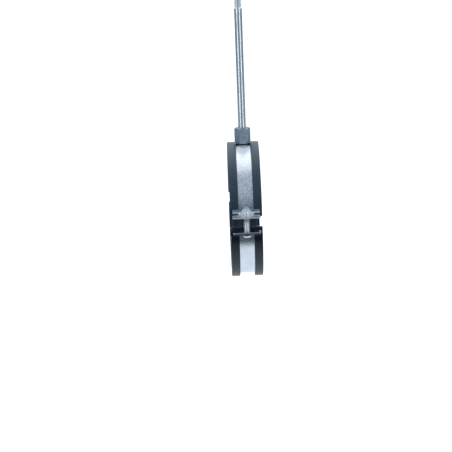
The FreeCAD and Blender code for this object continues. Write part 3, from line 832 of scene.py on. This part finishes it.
def bright_screw_steel():
    """Bright zinc-plated screws, with painted shade on the flats of their heads and on their
    threads below the upper ears.
    """
    finish = Finish("screw_steel")
    fine = finish.grain(0.6, detail=3.0)
    wide = finish.ramp(finish.grain(3.0, detail=2.0), 0.35, 0.65)
    height = finish.along("Z")
    colour = finish.blend(wide, SCREW_DULL, SCREW_BRIGHT)
    # The chamfer is a cone; what lies inside it is a flat, darkened with painted shade, as the
    # heads lie in the lower ears' shade.
    cone = finish.maths("ADD", height, (HEAD_TIP - SCREW_SEAT + HEAD_HEIGHT) * MM)
    inside = finish.maths("SUBTRACT", cone, finish.from_screw())
    flats_shade = finish.times(finish.zone(inside, *FLATS_INSIDE, most=0.85),
                         finish.zone(height, *HEAD_BELOW))
    colour = finish.blend(flats_shade, colour, SCREW_FLATS_SHADE)
    # Painted shade darkens the thread towards the upper ear, up to the ear's top.
    painted_shade = finish.times(finish.zone(height, *SHANK_SHADE_ABOVE, most=0.72),
                         finish.zone(height, *SHANK_SHADE_BELOW))
    colour = finish.blend(painted_shade, colour, SCREW_PAINTED_SHADE)
    gloss = finish.ramp(fine, 0.3, 0.7, *SCREW_SATIN)
    return finish.done(
        Base_Color=colour, Metallic=1.0, Roughness=gloss, Normal=finish.bump(fine, 0.008))


# The clamp

zinc = zinc_plated_sheet()
rubber = lining_rubber()
boss_metal = dull_boss_steel()
rod_metal = bright_rod_steel()
screw_metal = bright_screw_steel()

for node_name, finish in (
    ("upper_band", zinc),
    ("lower_band", zinc),
    ("connection_boss", boss_metal),
):
    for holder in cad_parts[node_name].material_slots:
        holder.material = finish

for piece_name, node_name, body, under in (
    ("upper_rubber", "upper_lining", "upper_half", False),
    ("lower_rubber", "lower_lining", "lower_half", True),
):
    rubber_half = lining(piece_name, under)
    rubber_half.data.materials.append(rubber)
    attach(rubber_half, body)
    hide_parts(node_name)

weld = weld_bead()
weld.data.materials.append(boss_metal)
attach(weld, "upper_half")

thread, thread_sockets = thread_tree()

rod = hanger_rod()
rod.data.materials.append(rod_metal)
cut_thread(rod, rod_metal, root=ROD_ROOT, crest=ROD_CREST, pitch=ROD_PITCH, run_out=0.6,
           low=ROD_SHANK_TOP, high=ROD_TOP, points=36)
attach(rod, "hanger")
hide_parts("hanger_rod")

for piece_name, node_name, body, side in (
    ("front_screw_thread", "front_clamp_screw", "front_screw", -1),
    ("rear_screw_thread", "rear_clamp_screw", "rear_screw", 1),
):
    screw = clamp_screw(piece_name, (0.0, side * SCREW_REACH))
    screw.data.materials.append(screw_metal)
    cut_thread(screw, screw_metal, root=SCREW_ROOT, crest=SCREW_CREST, pitch=SCREW_PITCH,
               run_out=0.8, low=SCREW_SHANK_TOP, high=SCREW_END, points=32, out=side * SCREW_REACH)
    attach(screw, body)
    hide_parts(node_name)


# Studio: a wide floor, pale near the clamp and grey far off, with a white sweep behind the clamp
# and a dark card before it. Each pair is where a part of it starts and where it is full, in metres,
# but for the sweep's sides, which are shares of its half width. The patches are in millimetres.
FLOOR_DEPTH = 0.5
FLOOR_RADIUS = 9.0
FLOOR_FAR = (0.28, 0.31, 0.34)
FLOOR_NEAR = (0.84, 0.87, 0.90)
FLOOR_PATCHES = 400.0
FLOOR_PALE = (0.56, 0.36)
SWEEP_HALF = 0.42
SWEEP_WIDENING = 0.17
SWEEP_SIDES = (1.8, 1.0)
SWEEP_FRONT = (-0.50, -0.34)
SWEEP_GLOW = 0.6
SWEEP_GLOW_NEAR = 0.14
SWEEP_GLOW_BACK = (0.50, 0.70)
CARD_SHADE = (0.07, 0.08, 0.09)
CARD_NEAR = (-0.48, -0.62)
CARD_FAR = (-1.7, -1.2)
CARD_SIDES = (1.0, 0.6)

# The room round the floor: each pair is a part of the view's direction.
WALLS_LOW = (0.092, 0.121, 0.151)
WALLS_HIGH = (0.45, 0.53, 0.615)
WALLS_RISE = (0.10, 0.52)
SIDE_WHITE = (0.86, 0.92, 0.98)
SIDE_ACROSS = (0.55, 0.9)
SIDE_RISE = (0.12, 0.4)
BACK_DEPTH = (0.35, 0.8)
BACK_RISE = (0.0, 0.14)
BACK_SHARE = 0.85
ROOM_WHITE = (1.05, 1.05, 1.05)
ROOM_SWEEP_HALF = 0.001
ROOM_SWEEP_DEPTH = (0.0, 0.3)
ROOM_SWEEP_RISE = (0.6, 0.2)


class Backdrop(Finish):
    """A finish for what stands round the clamp, bright behind it and falling to grey elsewhere."""

    def soft_step(self, value, start, full, least=0.0):
        """Rise smoothly from least at the start to 1 where it is full."""
        return self.node("ShaderNodeMapRange", {
            "Value": value, "From Min": start, "From Max": full, "To Min": least, "To Max": 1.0},
            interpolation_type="SMOOTHSTEP")["Result"]

    def sweep(self, half_width):
        """1 on a white sweep that widens towards the back, fading at its sides."""
        back = self.maths("MAXIMUM", self.along("Y"), 0.0)
        edge = self.maths("MULTIPLY_ADD", back, SWEEP_WIDENING, half_width)
        return self.soft_step(self.maths("DIVIDE", self.from_middle("X"), edge), *SWEEP_SIDES)


def floor_finish():
    """Pale matt floor with a white sweep behind the clamp; it keeps its shadows."""
    finish = Backdrop("studio_floor")
    across = finish.from_middle("X")
    back = finish.along("Y")
    near = finish.soft_step(finish.distance(finish.along("X"), back), *FLOOR_PALE)
    sweep = finish.times(finish.sweep(SWEEP_HALF), finish.soft_step(back, *SWEEP_FRONT))
    mottle = finish.either(finish.grain(FLOOR_PATCHES, detail=2.0), 0.98, 1.0)
    pale = finish.times(finish.maths("MAXIMUM", near, sweep), mottle)
    colour = finish.blend(pale, FLOOR_FAR, FLOOR_NEAR)
    card = finish.times(finish.soft_step(back, *CARD_NEAR), finish.soft_step(back, *CARD_FAR),
                        finish.soft_step(across, *CARD_SIDES))
    colour = finish.blend(card, colour, CARD_SHADE)
    matt = finish.node("ShaderNodeBsdfPrincipled", {
        "Base Color": colour, "Roughness": 0.9, "Specular IOR Level": 0.2})["BSDF"]

    # The sweep glows where it is seen or mirrored, and sheds no light on what is matt.
    rays = finish.node("ShaderNodeLightPath", {})
    seen = finish.maths("ADD", rays["Is Camera Ray"], rays["Is Glossy Ray"])
    seen = finish.maths("ADD", seen, rays["Is Transmission Ray"], clamp=True)
    behind = finish.soft_step(back, *SWEEP_GLOW_BACK, least=SWEEP_GLOW_NEAR)
    lift = finish.times(seen, sweep, behind, SWEEP_GLOW)
    glow = finish.node("ShaderNodeEmission", {
        "Color": (1.0, 1.0, 1.0, 1.0), "Strength": lift})["Emission"]
    both = finish.node("ShaderNodeAddShader", {0: matt, 1: glow})["Shader"]

    # From below it is clear, so that the clamp's underside can be looked at. The disc faces down,
    # so its back is what shows from above.
    clear = finish.node("ShaderNodeBsdfTransparent", {})["BSDF"]
    above = finish.node("ShaderNodeNewGeometry", {})["Backfacing"]
    whole = finish.node("ShaderNodeMixShader", {0: above, 1: clear, 2: both})["Shader"]
    finish.node("ShaderNodeOutputMaterial", {"Surface": whole})
    return finish.material


disc = bmesh.new()
bmesh.ops.create_circle(disc, cap_ends=True, segments=96, radius=FLOOR_RADIUS,
                        matrix=Matrix.Translation((0.0, 0.0, -FLOOR_DEPTH)))
floor = finished_mesh("studio_floor", disc)
floor.data.materials.append(floor_finish())


class Surround(Backdrop):
    """The room round the floor, drawn on the world."""

    def __init__(self, name):
        self.world = bpy.data.worlds.new(name)
        self.world.use_nodes = True
        self.start(self.world.node_tree, "Generated")


def studio_room():
    """Grey walls, pale at the sides and the back, with the white sweep rising behind the clamp."""
    room = Surround("studio_room")
    across = room.from_middle("X")
    back = room.along("Y")
    rise = room.along("Z")
    colour = room.blend(room.soft_step(rise, *WALLS_RISE), WALLS_LOW, WALLS_HIGH)
    sides = room.times(room.soft_step(across, *SIDE_ACROSS), room.soft_step(rise, *SIDE_RISE))
    rear = room.times(room.soft_step(back, *BACK_DEPTH), room.soft_step(rise, *BACK_RISE),
                      BACK_SHARE)
    colour = room.blend(room.maths("MAXIMUM", sides, rear), colour, SIDE_WHITE)
    sweep = room.times(room.sweep(ROOM_SWEEP_HALF), room.soft_step(back, *ROOM_SWEEP_DEPTH),
                       room.soft_step(rise, *ROOM_SWEEP_RISE))
    colour = room.blend(sweep, colour, ROOM_WHITE)
    shine = room.node("ShaderNodeBackground", {"Color": colour})["Background"]
    room.node("ShaderNodeOutputWorld", {"Surface": shine})
    return room.world


bpy.context.scene.world = studio_room()


def softbox(name, place, aim, width, height, watts, tint):
    """A rectangular lamp that stands at a place and points at its aim."""
    lamp = bpy.data.lights.new(name, "AREA")
    lamp.shape = "RECTANGLE"
    lamp.size = width
    lamp.size_y = height
    lamp.energy = watts
    lamp.color = tint
    holder = bpy.data.objects.new(name, lamp)
    holder.location = place
    holder.rotation_euler = (Vector(aim) - Vector(place)).to_track_quat("-Z", "Y").to_euler()
    bpy.context.scene.collection.objects.link(holder)


CLAMP = (0.0, 0.0, 0.0)
BEHIND_CLAMP = (0.0, 0.25, 0.0)
WARM = (1.0, 0.99, 0.99)
COOL = (0.91, 0.975, 1.0)
softbox("overhead_softbox", (0.0, 0.79, 1.68), BEHIND_CLAMP, 4.8, 2.6, 29.0, WARM)
softbox("overhead_strip", (0.0, 0.72, 1.66), CLAMP, 4.8, 0.8, 6.0, WARM)
softbox("left_softbox", (-1.45, -1.6, 0.15), CLAMP, 0.62, 1.3, 4.9, COOL)
softbox("right_softbox", (1.45, -1.6, 0.15), CLAMP, 0.62, 1.3, 4.9, COOL)

# Camera: two metres off, a little above the clamp and to its left, as in the photograph.
DISTANCE = 2.0
AZIMUTH = radians(1.0)
ELEVATION = radians(12.76)
YAW = radians(-0.400)
PITCH = radians(-13.412)
ROLL = radians(2.17)
SENSOR_WIDTH = 36.0
FOCAL_LENGTH = 153.1
lens = bpy.data.cameras.new("camera")
lens.sensor_width = SENSOR_WIDTH
lens.lens = FOCAL_LENGTH
lens.clip_start = 0.05
lens.clip_end = 60.0
camera = bpy.data.objects.new("camera", lens)
stand = DISTANCE * Vector((
    -sin(AZIMUTH) * cos(ELEVATION), -cos(AZIMUTH) * cos(ELEVATION), sin(ELEVATION)))
ahead = Vector((-sin(YAW) * cos(PITCH), cos(YAW) * cos(PITCH), sin(PITCH)))
right = Vector((cos(YAW), sin(YAW), 0.0))
level = Matrix((right, right.cross(ahead), -ahead)).transposed()
camera.matrix_world = Matrix.Translation(stand) @ (level @ Matrix.Rotation(-ROLL, 3, "Z")).to_4x4()
bpy.context.scene.collection.objects.link(camera)
bpy.context.scene.camera = camera
bpy.context.scene.view_settings.view_transform = "Standard"
